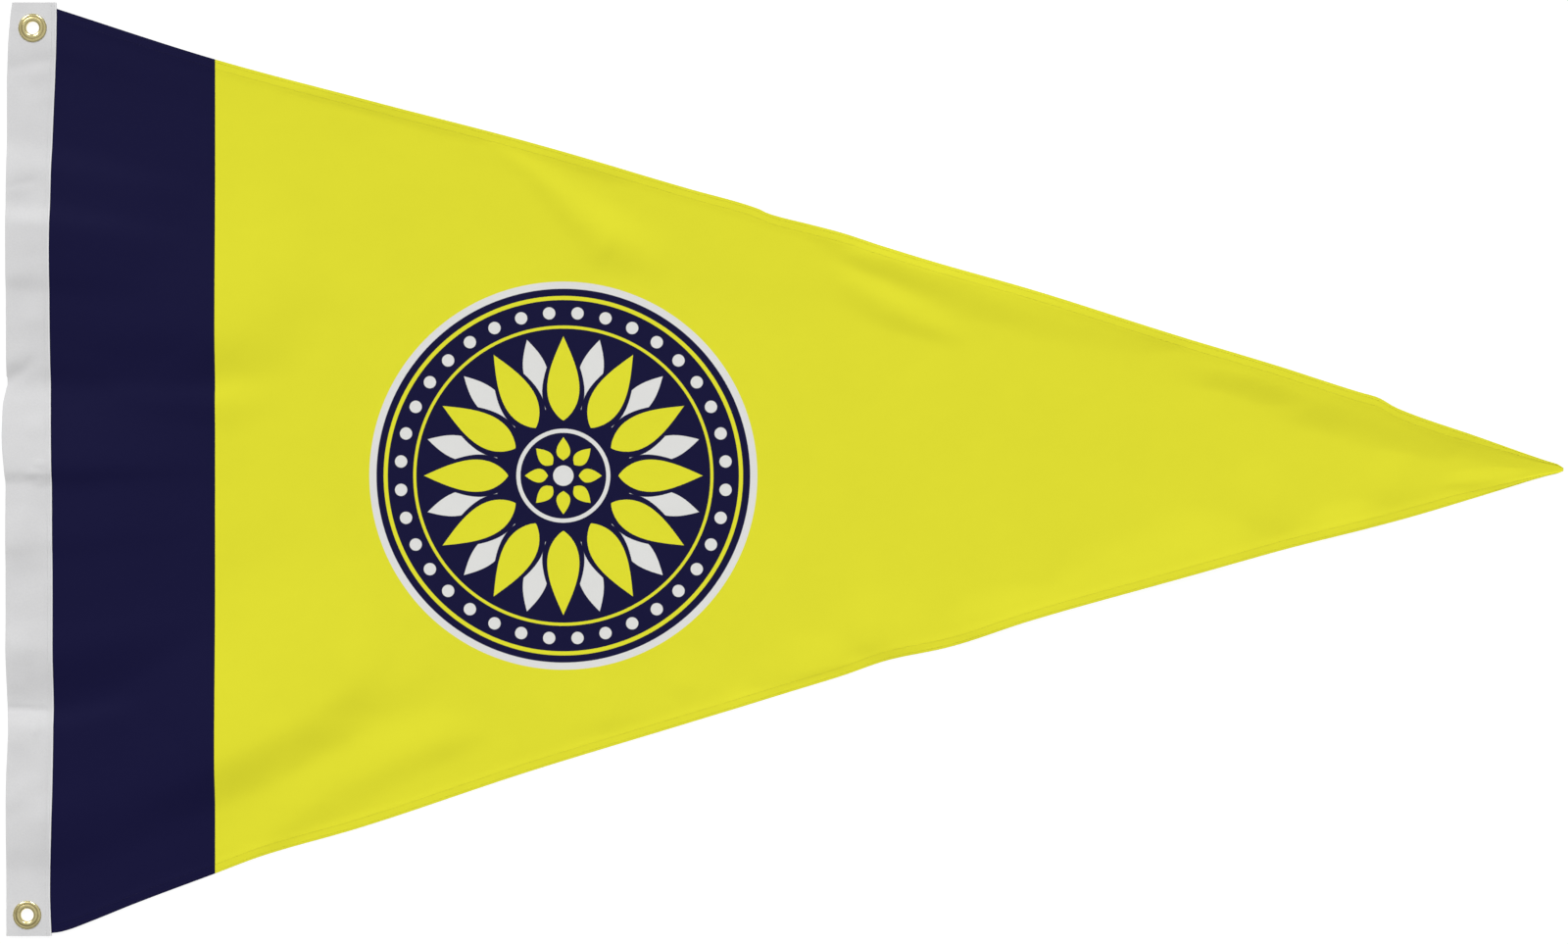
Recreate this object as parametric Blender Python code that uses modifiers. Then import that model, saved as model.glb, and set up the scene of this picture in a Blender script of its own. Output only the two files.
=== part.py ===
"""A pennant flag lying on its back: printed cloth, canvas heading tape and two brass eyelets.

Frame: +X runs from the hoist to the tip, +Y from the lower edge to the upper edge, +Z out of the face.
The flag is drawn with x measured from the hoist and y from the middle of the hoist, and at the end an
empty moves the whole flag so that the middle of its underside is the origin.
"""
from collections import namedtuple
import math

import bmesh
import bpy
from mathutils import Vector

MM = 0.001

# Thickness of the sheets, and the space between pieces that touch
CLOTH = 1.0 * MM
HEM = 1.6 * MM
TAPE = 1.0 * MM
CLEAR = 0.3 * MM

# Width of the hems, the slope down from them, and the most of the flag's height that one may take
HEM_WIDTH = 11.0 * MM
HEM_SLOPE = 1.5 * MM
HEM_SHARE = 0.24

# The tape's slot for the edge of the cloth, and the space between its two layers past the slot
SLOT_DEPTH = 6.5 * MM
SLOT_RAMP = 2.0 * MM
SLOT_HEIGHT = CLOTH + 2 * CLEAR
LAYER_SPACE = 0.4 * MM
TUCK = 6.0 * MM

# How far past the seam the cloth comes down to the ground, and where the tape's waves die out in it
SEAM_LEVEL = 0.8 * MM
SEAM_FALL = 14.0 * MM
WAVE_REACH = 190.0 * MM

# Border between the dark band and the yellow field, and the tip
BAND_END = 208.0 * MM
TIP = 1528.5 * MM

# Spacing of the cloth's mesh, and how many of its columns lie in the tape's slot
TUCKED_COLUMNS = 2
BAND_COLUMNS = 7
FIELD_COLUMNS = 52
ROW_STEP = 33.0 * MM
ROUND_STEPS = 32

# Brass eyelets: radii, and heights above the ground
HOLE_RADIUS = 6.5 * MM
BARREL_RADIUS = 7.1 * MM
FOOT_RADIUS = 7.7 * MM
LIP_ROLL = 1.1 * MM
CREASE_RADIUS = 10.2 * MM
RING_INNER = 10.9 * MM
RING_OUTER = 12.5 * MM
FLANGE_RADIUS = 14.0 * MM
WASHER_RADIUS = 13.2 * MM
WASHER = 1.0 * MM
TAPE_LIFT = WASHER + CLEAR
FLANGE_UNDER = TAPE_LIFT + 2 * TAPE + LAYER_SPACE + CLEAR
EDGE_HEIGHT = FLANGE_UNDER + 0.4 * MM
CREASE_HEIGHT = FLANGE_UNDER + 0.8 * MM
RING_HEIGHT = FLANGE_UNDER + 1.3 * MM
LIP_HEIGHT = FLANGE_UNDER + 1.8 * MM
FOOT_HEIGHT = 0.6 * MM
BEVEL = 0.3 * MM
BARREL_HOLE = BARREL_RADIUS + 0.4 * MM
CUT_LENGTH = 20.0 * MM
ROLL_STEPS = 4
Eyelet = namedtuple("Eyelet", "name x y")
EYELETS = (
    Eyelet("top", 29.8 * MM, 432.0 * MM),
    Eyelet("bottom", 24.5 * MM, -435.8 * MM),
)

# The heading tape from its lower end to its upper end, in mm: height on the hoist, how far its
# underside lies off the ground, its folded edge, and its sewn edge
Hoist = namedtuple("Hoist", "y lift edge seam")
HOIST = (
    Hoist(-456.5, 1.3, 3.8, 48.2),
    Hoist(-415.0, 1.3, 3.8, 46.8),
    Hoist(-398.0, 0.6, 3.8, 46.9),
    Hoist(-366.0, 2.4, 3.9, 48.0),
    Hoist(-308.0, 3.2, 4.0, 49.6),
    Hoist(-255.0, 3.6, 5.8, 50.2),
    Hoist(-232.0, 0.0, 4.8, 50.1),
    Hoist(-174.0, 4.2, 3.8, 50.0),
    Hoist(-116.0, 5.0, 3.8, 49.9),
    Hoist(-87.0, 4.6, 3.8, 49.8),
    Hoist(-68.0, 6.0, 3.8, 49.7),
    Hoist(-15.0, 5.6, 3.8, 49.3),
    Hoist(0.0, 7.6, 2.6, 49.1),
    Hoist(34.0, 5.0, 0.0, 48.2),
    Hoist(62.0, 2.0, 0.4, 47.6),
    Hoist(84.0, 0.0, 3.8, 47.2),
    Hoist(114.0, 2.8, 3.8, 46.9),
    Hoist(152.0, 0.4, 3.8, 46.7),
    Hoist(172.0, 1.0, 3.8, 46.6),
    Hoist(210.0, 5.2, 3.8, 46.6),
    Hoist(238.0, 6.8, 3.8, 47.0),
    Hoist(261.0, 2.6, 3.7, 47.4),
    Hoist(292.0, 2.2, 4.0, 48.0),
    Hoist(321.0, 0.3, 4.2, 48.9),
    Hoist(380.0, 0.0, 4.0, 51.3),
    Hoist(400.0, 0.4, 4.8, 52.1),
    Hoist(414.0, 1.3, 5.4, 52.7),
    Hoist(446.0, 1.3, 8.0, 53.2),
    Hoist(457.0, 1.3, 9.6, 53.0),
)

# The long edges from the hoist to the tip, in mm: distance from the hoist, and height
Edge = namedtuple("Edge", "x y")
UPPER_EDGE = (
    Edge(53.3, 450.9), Edge(208.0, 401.6), Edge(375.0, 357.1), Edge(515.5, 320.6),
    Edge(670.0, 275.5), Edge(740.0, 255.4), Edge(749.0, 251.0), Edge(823.0, 231.4),
    Edge(861.0, 218.9), Edge(916.0, 202.1), Edge(1009.0, 175.7), Edge(1149.0, 131.5),
    Edge(1247.0, 101.8), Edge(1345.0, 71.0), Edge(1365.0, 60.1), Edge(1443.0, 32.6),
    Edge(1512.0, 8.6), Edge(1523.5, 5.0), Edge(1528.5, 1.6),
)
LOWER_EDGE = (
    Edge(48.0, -453.6), Edge(54.0, -453.0), Edge(64.0, -450.6), Edge(86.0, -442.4),
    Edge(131.0, -424.3), Edge(208.0, -395.5), Edge(347.5, -351.4), Edge(515.5, -295.7),
    Edge(670.0, -248.6), Edge(821.0, -202.3), Edge(869.0, -186.0), Edge(925.0, -174.3),
    Edge(1004.0, -148.8), Edge(1149.0, -108.0), Edge(1261.0, -76.8), Edge(1370.0, -49.0),
    Edge(1443.0, -27.4), Edge(1511.0, -6.6), Edge(1524.0, -3.4), Edge(1528.5, -1.4),
)

# Folds of the cloth, in mm: each is a ridge from one point to another, with its height at both ends
# and the width of its upper and its lower side. Roundness 2 is a soft crest and 0 a sharp one.
Fold = namedtuple("Fold", "x1 y1 height1 x2 y2 height2 upper lower roundness")
FOLDS = (
    # lower corner beside the band
    Fold(165, -318, 1.2, 292, -250, 8.0, 95, 44, 1.2),
    Fold(292, -250, 8.0, 390, -192, 1.6, 80, 42, 1.2),
    Fold(225, -386, 1.8, 330, -338, 5.4, 66, 26, 1.4),
    Fold(330, -338, 5.4, 470, -262, 1.6, 58, 34, 1.4),
    Fold(215, -215, 1.0, 330, -160, 1.0, 55, 50, 2.0),
    # beside the band at mid height
    Fold(150, 142, 2.4, 285, 128, 1.6, 45, 52, 1.6),
    Fold(150, 60, 2.0, 270, 61, 1.0, 26, 32, 1.4),
    # upper edge, first third
    Fold(478, 313, 1.2, 535, 282, 4.4, 34, 30, 1.2),
    Fold(535, 282, 4.4, 618, 214, 1.0, 34, 32, 1.4),
    Fold(570, 300, 1.8, 640, 262, 1.2, 24, 28, 1.6),
    # upper edge, second third
    Fold(790, 232, 1.4, 910, 188, 3.6, 24, 24, 1.0),
    Fold(910, 188, 3.6, 1055, 131, 1.8, 24, 28, 1.2),
    Fold(805, 198, 1.4, 930, 138, 3.4, 26, 28, 1.2),
    Fold(930, 138, 3.4, 1000, 112, 0.8, 26, 28, 1.4),
    # upper edge towards the tip
    Fold(1135, 128, 1.6, 1196, 106, 1.8, 16, 26, 1.4),
    Fold(1180, 99, 1.4, 1274, 75, 3.4, 24, 24, 1.2),
    Fold(1274, 75, 3.4, 1360, 42, 4.2, 26, 24, 1.0),
    Fold(1360, 42, 4.2, 1440, 24, 3.2, 22, 20, 1.2),
    Fold(1440, 24, 3.2, 1510, 6, 1.8, 16, 14, 1.4),
    # lower edge towards the tip
    Fold(1214, -18, 1.0, 1210, -84, 4.6, 52, 48, 1.4),
    Fold(1344, -20, 1.0, 1352, -54, 3.6, 46, 48, 1.4),
    Fold(1425, -10, 0.8, 1478, -15, 1.8, 16, 14, 1.4),
    # small ones beside the lower hem
    Fold(560, -262, 0.8, 650, -234, 2.2, 36, 24, 1.6),
    Fold(700, -236, 2.0, 758, -220, 2.0, 34, 18, 1.6),
    Fold(755, -204, 1.2, 824, -188, 2.5, 30, 22, 1.6),
    Fold(850, -150, 1.0, 905, -176, 2.2, 46, 30, 1.8),
    Fold(965, -160, 2.2, 1012, -106, 1.0, 44, 40, 1.6),
)


def remove_objects():
    """Clears the scene."""
    for old in list(bpy.data.objects):
        bpy.data.objects.remove(old, do_unlink=True)


def make_collection(name):
    """Adds a collection to the scene."""
    collection = bpy.data.collections.new(name)
    bpy.context.scene.collection.children.link(collection)
    return collection


def make_material(name, colour, roughness, metallic=0.0):
    """A Principled material of one colour."""
    material = bpy.data.materials.new(name)
    material.use_nodes = True
    shader = material.node_tree.nodes["Principled BSDF"]
    shader.inputs["Base Color"].default_value = (*colour, 1.0)
    shader.inputs["Roughness"].default_value = roughness
    shader.inputs["Metallic"].default_value = metallic
    return material


def yellow_print():
    return make_material("yellow_print", (0.72, 0.71, 0.035), 0.62)


def navy_print():
    return make_material("navy_print", (0.0097, 0.0091, 0.042), 0.6)


def white_canvas():
    return make_material("white_canvas", (0.60, 0.59, 0.58), 0.85)


def brass():
    return make_material("brass", (0.60, 0.52, 0.27), 0.28, 1.0)


def smoothed(share):
    """Eases a share from 0 to 1, level at both ends."""
    share = min(max(share, 0.0), 1.0)
    return share * share * (3.0 - 2.0 * share)


def table_value(rows, at, key, name):
    """Reads a column of a table between its rows; rows are in mm, the answer in metres."""
    at = at / MM
    for low, high in zip(rows, rows[1:]):
        if at <= getattr(high, key):
            break
    start, end = getattr(low, key), getattr(high, key)
    share = min(max((at - start) / (end - start), 0.0), 1.0)
    return (getattr(low, name) * (1.0 - share) + getattr(high, name) * share) * MM


def hoist_value(y, name):
    return table_value(HOIST, y, "y", name)


def upper_edge(x):
    return table_value(UPPER_EDGE, x, "x", "y")


def lower_edge(x):
    return table_value(LOWER_EDGE, x, "x", "y")


def fold_height(fold, x, y):
    """Height of one fold at a point: full on its line, and eased down to nothing at its sides and ends."""
    start = Vector((fold.x1, fold.y1)) * MM
    line = Vector((fold.x2 - fold.x1, fold.y2 - fold.y1)) * MM
    here = Vector((x, y)) - start
    along = min(max(here.dot(line) / line.length_squared, 0.0), 1.0)
    offset = here - along * line
    away = offset.length
    side = line.cross(offset) / max(line.length * away, 1e-9)
    width = 0.5 * (fold.upper + fold.lower) + 0.5 * (fold.upper - fold.lower) * side
    share = away / (width * MM)
    if share >= 1.0:
        return 0.0
    crest = (fold.height1 * (1.0 - along) + fold.height2 * along) * MM
    return crest * (1.0 - share) ** 2 * (1.0 + fold.roundness * share)


def cloth_level(x, y, seam, lift):
    """Height of the cloth's underside: held by the tape at the seam, on the ground or a fold past it."""
    past_seam = x - seam - SEAM_LEVEL
    tucked = (TAPE + CLEAR) * (1.0 - smoothed(past_seam / SEAM_FALL))
    wave = lift * (1.0 - smoothed(past_seam / WAVE_REACH))
    return tucked + max(wave, max(fold_height(fold, x, y) for fold in FOLDS))


def hoist_rows():
    """Heights of the cloth's rows where it enters the tape: edges, hems, and the tape's own rows between."""
    top = upper_edge(0.0)
    bottom = lower_edge(0.0)
    inner_top = top - HEM_WIDTH - HEM_SLOPE
    inner_bottom = bottom + HEM_WIDTH + HEM_SLOPE
    stops = [row.y * MM for row in HOIST if inner_bottom + HEM_WIDTH < row.y * MM < inner_top - HEM_WIDTH]
    stops = [inner_bottom] + stops + [inner_top]
    rows = [bottom, bottom + HEM_WIDTH]
    for low, high in zip(stops, stops[1:]):
        parts = math.ceil((high - low) / ROW_STEP)
        rows += [low + (high - low) * part / parts for part in range(parts)]
    return rows + [inner_top, top - HEM_WIDTH, top]


def row_height(rows, index, x):
    """Height of one row of the cloth at a distance from the hoist; the hem rows keep to the edges."""
    top = upper_edge(x)
    bottom = lower_edge(x)
    scale = min(1.0, HEM_SHARE * (top - bottom) / (HEM_WIDTH + HEM_SLOPE))
    last = len(rows) - 1
    if index <= 1:
        return bottom + index * HEM_WIDTH * scale
    if index >= last - 1:
        return top - (last - index) * HEM_WIDTH * scale
    inner = (HEM_WIDTH + HEM_SLOPE) * scale
    share = (rows[index] - rows[2]) / (rows[last - 2] - rows[2])
    return (bottom + inner) * (1.0 - share) + (top - inner) * share


def column_places(seam):
    """Distances of the cloth's columns from the hoist: in the slot, down to the ground, band and field."""
    places = [seam - TUCK, seam + SEAM_LEVEL]
    ground = seam + SEAM_LEVEL + SEAM_FALL
    places.append(0.5 * (places[-1] + ground))
    places += [ground + (BAND_END - ground) * step / BAND_COLUMNS for step in range(BAND_COLUMNS + 1)]
    places += [BAND_END + (TIP - BAND_END) * step / FIELD_COLUMNS for step in range(1, FIELD_COLUMNS + 1)]
    return places


def add_sheet(name, columns, rows, place):
    """A grid whose points are put in place by their column and row."""
    bpy.ops.mesh.primitive_grid_add(x_subdivisions=columns, y_subdivisions=rows, size=2.0)
    sheet = bpy.context.object
    sheet.name = name
    sheet.data.name = name
    for vertex in sheet.data.vertices:
        column = round((vertex.co.x + 1.0) * 0.5 * columns)
        row = round((vertex.co.y + 1.0) * 0.5 * rows)
        vertex.co = place(column, row)
    return sheet


def thicken(sheet, thickness, group=None, thin=0.0):
    """Gives a sheet its thickness on the outer side, thinner where its group says."""
    solid = sheet.modifiers.new("thickness", "SOLIDIFY")
    solid.thickness = thickness
    solid.offset = 1.0
    if group is not None:
        solid.vertex_group = group
        solid.thickness_vertex_group = thin


def make_field(collection, frame):
    """The printed cloth: one sheet with hemmed edges, on its folds."""
    rows = hoist_rows()
    seams = [hoist_value(y, "seam") for y in rows]
    lifts = [hoist_value(y, "lift") for y in rows]
    places = [column_places(seam) for seam in seams]
    columns = len(places[0]) - 1

    def place(column, row):
        x = places[row][column]
        y = rows[row] if column < TUCKED_COLUMNS else row_height(rows, row, x)
        return x, y, cloth_level(x, y, seams[row], lifts[row])

    field = add_sheet("field", columns, len(rows) - 1, place)
    hems = field.vertex_groups.new(name="hems")
    edge_rows = {0, 1, len(rows) - 2, len(rows) - 1}
    for vertex in field.data.vertices:
        row, column = divmod(vertex.index, columns + 1)
        if row in edge_rows and column > TUCKED_COLUMNS:
            hems.add([vertex.index], 1.0, "REPLACE")
    thicken(field, HEM, "hems", CLOTH / HEM)

    field.data.materials.append(yellow_print())
    field.data.materials.append(navy_print())
    for face in field.data.polygons:
        if face.center.x < BAND_END:
            face.material_index = 1
    finish_part(field, collection, frame)


def tape_profile(edge, seam):
    """Inner side of the folded tape, from the sewn edge behind round the fold to the sewn edge in front."""
    slot_end = seam - SLOT_DEPTH
    ramp_end = slot_end - SLOT_RAMP
    fold = edge + TAPE + 0.5 * LAYER_SPACE
    middle = 0.5 * (fold + ramp_end)
    back = [(x, TAPE) for x in (seam, slot_end, ramp_end, middle, fold)]
    nose = [(edge + TAPE, TAPE + 0.5 * LAYER_SPACE)]
    close = TAPE + LAYER_SPACE
    wide = TAPE + SLOT_HEIGHT
    front = [(fold, close), (middle, close), (ramp_end, close), (slot_end, wide), (seam, wide)]
    return back + nose + front


def make_heading(collection, cutters, frame):
    """The canvas tape, folded round the hoist edge of the cloth, with a hole for each eyelet."""
    rows = [HOIST[0].y * MM] + hoist_rows() + [HOIST[-1].y * MM]
    profiles = [tape_profile(hoist_value(y, "edge"), hoist_value(y, "seam")) for y in rows]
    lifts = [hoist_value(y, "lift") for y in rows]

    def place(column, row):
        x, z = profiles[row][column]
        return x, rows[row], z + lifts[row]

    heading = add_sheet("heading", len(profiles[0]) - 1, len(rows) - 1, place)
    thicken(heading, TAPE)
    heading.modifiers["thickness"].use_even_offset = True
    for eyelet in EYELETS:
        cutter = make_cutter(f"{eyelet.name}_hole", eyelet, cutters, frame)
        hole = heading.modifiers.new(cutter.name, "BOOLEAN")
        hole.operation = "DIFFERENCE"
        hole.object = cutter
    heading.data.materials.append(white_canvas())
    finish_part(heading, collection, frame)


def make_cutter(name, eyelet, cutters, frame):
    """A round pin through the tape where an eyelet's barrel goes."""
    bpy.ops.mesh.primitive_cylinder_add(
        vertices=ROUND_STEPS, radius=BARREL_HOLE, depth=CUT_LENGTH, location=(eyelet.x, eyelet.y, 0.0))
    cutter = bpy.context.object
    cutter.name = name
    cutter.hide_render = True
    cutter.display_type = "WIRE"
    move_to(cutter, cutters, frame)
    return cutter


def make_turned(name, profile, eyelet, collection, frame, material):
    """A ring turned from a closed profile that runs down its outer side and back up its inner side."""
    mesh = bpy.data.meshes.new(name)
    shape = bmesh.new()
    points = [shape.verts.new((radius, 0.0, height)) for radius, height in profile]
    for start, end in zip(points, points[1:] + points[:1]):
        shape.edges.new((start, end))
    shape.to_mesh(mesh)
    shape.free()
    ring = bpy.data.objects.new(name, mesh)
    ring.location = (eyelet.x, eyelet.y, 0.0)
    screw = ring.modifiers.new("turned", "SCREW")
    screw.steps = ROUND_STEPS
    screw.render_steps = ROUND_STEPS
    screw.use_merge_vertices = True
    screw.merge_threshold = 0.00001
    screw.use_normal_calculate = False
    mesh.materials.append(material)
    finish_part(ring, collection, frame)


def lip_roll():
    """Points over the rolled lip, from the hole across its top to the crease's side."""
    points = []
    for step in range(ROLL_STEPS + 1):
        turn = math.pi * (1.0 - 0.9 * step / ROLL_STEPS)
        radius = HOLE_RADIUS + LIP_ROLL * (1.0 + math.cos(turn))
        points.append((radius, LIP_HEIGHT + LIP_ROLL * (math.sin(turn) - 1.0)))
    return points


def make_eyelet(eyelet, collection, frame):
    """A brass eyelet: dished flange with a level ring, crease, rolled lip, barrel and flared foot."""
    profile = [
        (RING_OUTER, RING_HEIGHT),
        (FLANGE_RADIUS - BEVEL, EDGE_HEIGHT + BEVEL),
        (FLANGE_RADIUS, EDGE_HEIGHT),
        (FLANGE_RADIUS - BEVEL, FLANGE_UNDER),
        (BARREL_RADIUS, FLANGE_UNDER),
        (BARREL_RADIUS, FOOT_HEIGHT),
        (FOOT_RADIUS, 0.0),
        (HOLE_RADIUS + BEVEL, 0.0),
        (HOLE_RADIUS, FOOT_HEIGHT),
    ]
    profile += lip_roll()
    profile += [(CREASE_RADIUS, CREASE_HEIGHT), (RING_INNER, RING_HEIGHT)]
    make_turned(f"{eyelet.name}_eyelet", profile, eyelet, collection, frame, brass())


def make_washer(eyelet, collection, frame):
    """The flat brass washer behind the tape, countersunk for the barrel's foot."""
    profile = [
        (WASHER_RADIUS - BEVEL, WASHER),
        (WASHER_RADIUS, WASHER - BEVEL),
        (WASHER_RADIUS, BEVEL),
        (WASHER_RADIUS - BEVEL, 0.0),
        (FOOT_RADIUS + 2 * CLEAR, 0.0),
        (BARREL_HOLE, FOOT_HEIGHT + CLEAR),
        (BARREL_HOLE, WASHER),
    ]
    make_turned(f"{eyelet.name}_washer", profile, eyelet, collection, frame, brass())


def move_to(part, collection, frame):
    """Puts an object in its collection and on the flag's frame."""
    for old in list(part.users_collection):
        old.objects.unlink(part)
    collection.objects.link(part)
    part.parent = frame


def finish_part(part, collection, frame):
    """Shades a part smooth up to its sharp edges and puts it in its place."""
    part.data.shade_smooth()
    if len(part.data.polygons) > 0:
        part.data.set_sharp_from_angle(angle=math.radians(40.0))
    move_to(part, collection, frame)


def centre_on_ground(frame, parts):
    """Moves the flag so that the middle of its underside is the origin."""
    bpy.context.view_layer.update()
    seen = bpy.context.evaluated_depsgraph_get()
    corners = []
    for part in parts:
        shown = part.evaluated_get(seen)
        corners += [shown.matrix_world @ Vector(corner) for corner in shown.bound_box]
    low = Vector([min(corner[axis] for corner in corners) for axis in range(3)])
    high = Vector([max(corner[axis] for corner in corners) for axis in range(3)])
    middle = 0.5 * (low + high)
    frame.location = (-middle.x, -middle.y, -low.z)
    bpy.context.view_layer.update()


def build_flag():
    """Makes every part of the flag and centres it on the origin."""
    remove_objects()
    parts = make_collection("pennant_flag")
    cutters = make_collection("cutters")
    frame = bpy.data.objects.new("flag_frame", None)
    parts.objects.link(frame)
    make_field(parts, frame)
    make_heading(parts, cutters, frame)
    for eyelet in EYELETS:
        make_eyelet(eyelet, parts, frame)
        make_washer(eyelet, parts, frame)
    centre_on_ground(frame, [part for part in parts.objects if part.type == "MESH"])


build_flag()
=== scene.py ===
import math
from collections import namedtuple

import bmesh
import bpy
import numpy as np
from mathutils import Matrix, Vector, noise
from mathutils.bvhtree import BVHTree


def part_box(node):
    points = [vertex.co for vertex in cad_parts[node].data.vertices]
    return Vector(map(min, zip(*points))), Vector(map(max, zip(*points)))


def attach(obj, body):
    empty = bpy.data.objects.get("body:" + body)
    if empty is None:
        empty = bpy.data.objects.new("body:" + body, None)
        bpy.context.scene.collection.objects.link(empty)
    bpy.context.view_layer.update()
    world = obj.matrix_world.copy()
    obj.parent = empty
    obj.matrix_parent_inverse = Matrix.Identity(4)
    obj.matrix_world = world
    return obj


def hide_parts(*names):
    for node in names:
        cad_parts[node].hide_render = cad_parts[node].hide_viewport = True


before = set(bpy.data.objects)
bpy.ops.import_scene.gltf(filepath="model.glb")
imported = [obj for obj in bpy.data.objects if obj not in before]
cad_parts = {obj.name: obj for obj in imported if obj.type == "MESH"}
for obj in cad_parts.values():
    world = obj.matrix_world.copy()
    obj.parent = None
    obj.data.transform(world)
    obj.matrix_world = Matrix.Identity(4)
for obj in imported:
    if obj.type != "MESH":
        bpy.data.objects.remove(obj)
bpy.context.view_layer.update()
bpy.ops.object.select_all(action="DESELECT")


# The flag cloth: one long triangle of light woven polyester, its dark band and yellow field printed in
# one piece. The two long edges are turned under and sewn, and the hoist edge goes into the heading
# tape. It lies on its back with the soft folds it was packed in.
MM = 0.001
CLOTH_THICKNESS = 0.5
HEM_THICKNESS = 0.85
HEM_WIDTH = 11.0
HEM_SHARE = 0.22
BAND_END = 208.0
TIP = 1528.5
TUCK = 5.5
TAPE_LAYER = 0.8
TUCK_HEIGHT = 0.95
SEAM_LEVEL = 0.8
SEAM_FALL = 14.0
WAVE_REACH = 190.0
CRINKLE_HEIGHT = 0.45
CRINKLE_SIZE = 75.0
PUCKER_HEIGHT = 0.28
PUCKER_LENGTH = 15.0
PUCKER_REACH = 22.0
PUCKER_STRETCH = 0.35
FOLD_BLEND = 4.0
WANDER_SEEDS = (41.0, 57.0)
CRINKLE_SEED = 3.0
PUCKER_SEED = 8.0
CLOTH_EDGE_ANGLE = 60.0

# The upper eyelet's place on the flag ties the flag's own measures, in mm, to the frame
Eyelet = namedtuple("Eyelet", "name x y")
EYELETS = (Eyelet("top", 29.8, 432.0), Eyelet("bottom", 24.5, -435.8))
eyelet_low, eyelet_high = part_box("top_eyelet")
hoist_x = 0.5 * (eyelet_low.x + eyelet_high.x) - EYELETS[0].x * MM
middle_y = 0.5 * (eyelet_low.y + eyelet_high.y) - EYELETS[0].y * MM

# The heading tape from its lower end to its upper end: height on the hoist, how far its underside lies
# off the ground, its folded edge, and its sewn edge
Hoist = namedtuple("Hoist", "y lift edge seam")
HOIST = (
    Hoist(-456.5, 1.3, 3.8, 48.2),
    Hoist(-415.0, 1.3, 3.8, 46.8),
    Hoist(-398.0, 1.4, 3.8, 46.9),
    Hoist(-366.0, 3.9, 3.9, 48.0),
    Hoist(-340.0, 5.0, 3.9, 48.8),
    Hoist(-308.0, 4.2, 4.0, 49.6),
    Hoist(-255.0, 3.2, 5.8, 50.2),
    Hoist(-234.0, 0.0, 4.8, 50.1),
    Hoist(-174.0, 5.8, 3.8, 50.0),
    Hoist(-145.0, 4.8, 3.8, 49.9),
    Hoist(-116.0, 5.0, 3.8, 49.9),
    Hoist(-87.0, 5.2, 3.8, 49.8),
    Hoist(-68.0, 6.4, 3.8, 49.7),
    Hoist(-15.0, 5.2, 3.8, 49.3),
    Hoist(0.0, 7.6, 2.6, 49.1),
    Hoist(34.0, 5.0, 0.0, 48.2),
    Hoist(62.0, 2.0, 0.4, 47.6),
    Hoist(84.0, 0.0, 3.8, 47.2),
    Hoist(104.0, 1.8, 3.8, 47.0),
    Hoist(128.0, 3.0, 3.8, 46.8),
    Hoist(152.0, 3.9, 3.8, 46.7),
    Hoist(172.0, 4.0, 3.8, 46.6),
    Hoist(191.0, 6.0, 3.8, 46.6),
    Hoist(210.0, 6.8, 3.8, 46.6),
    Hoist(238.0, 7.6, 3.8, 47.0),
    Hoist(261.0, 4.4, 3.7, 47.4),
    Hoist(292.0, 3.5, 4.0, 48.0),
    Hoist(321.0, 0.3, 4.2, 48.9),
    Hoist(380.0, 0.0, 4.0, 51.3),
    Hoist(400.0, 0.4, 4.8, 52.1),
    Hoist(414.0, 1.3, 5.4, 52.7),
    Hoist(446.0, 1.3, 8.0, 53.2),
    Hoist(457.0, 1.3, 9.6, 53.0),
)

# The long edges from the hoist to the tip: distance from the hoist, and height
Edge = namedtuple("Edge", "x y")
UPPER_EDGE = (
    Edge(53.3, 450.9), Edge(208.0, 401.6), Edge(375.0, 357.1), Edge(515.5, 320.6),
    Edge(670.0, 275.5), Edge(740.0, 255.4), Edge(749.0, 251.0), Edge(793.0, 239.4),
    Edge(823.0, 231.4), Edge(861.0, 218.9), Edge(916.0, 202.1), Edge(1009.0, 175.7),
    Edge(1149.0, 131.5), Edge(1247.0, 101.8), Edge(1330.0, 75.2), Edge(1345.0, 71.0),
    Edge(1365.0, 60.1), Edge(1443.0, 32.6), Edge(1512.0, 8.6), Edge(1523.5, 5.0),
    Edge(1528.5, 1.6),
)
LOWER_EDGE = (
    Edge(48.0, -453.6), Edge(54.0, -453.0), Edge(64.0, -450.6), Edge(86.0, -442.4),
    Edge(131.0, -424.3), Edge(208.0, -395.5), Edge(254.0, -378.2), Edge(347.5, -351.4),
    Edge(515.5, -295.7), Edge(670.0, -248.6), Edge(779.0, -215.2), Edge(821.0, -202.3),
    Edge(869.0, -186.0), Edge(925.0, -174.3), Edge(1004.0, -148.8), Edge(1149.0, -108.0),
    Edge(1261.0, -76.8), Edge(1370.0, -49.0), Edge(1443.0, -27.4), Edge(1511.0, -6.6),
    Edge(1524.0, -3.4), Edge(1528.5, -1.4),
)

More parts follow.
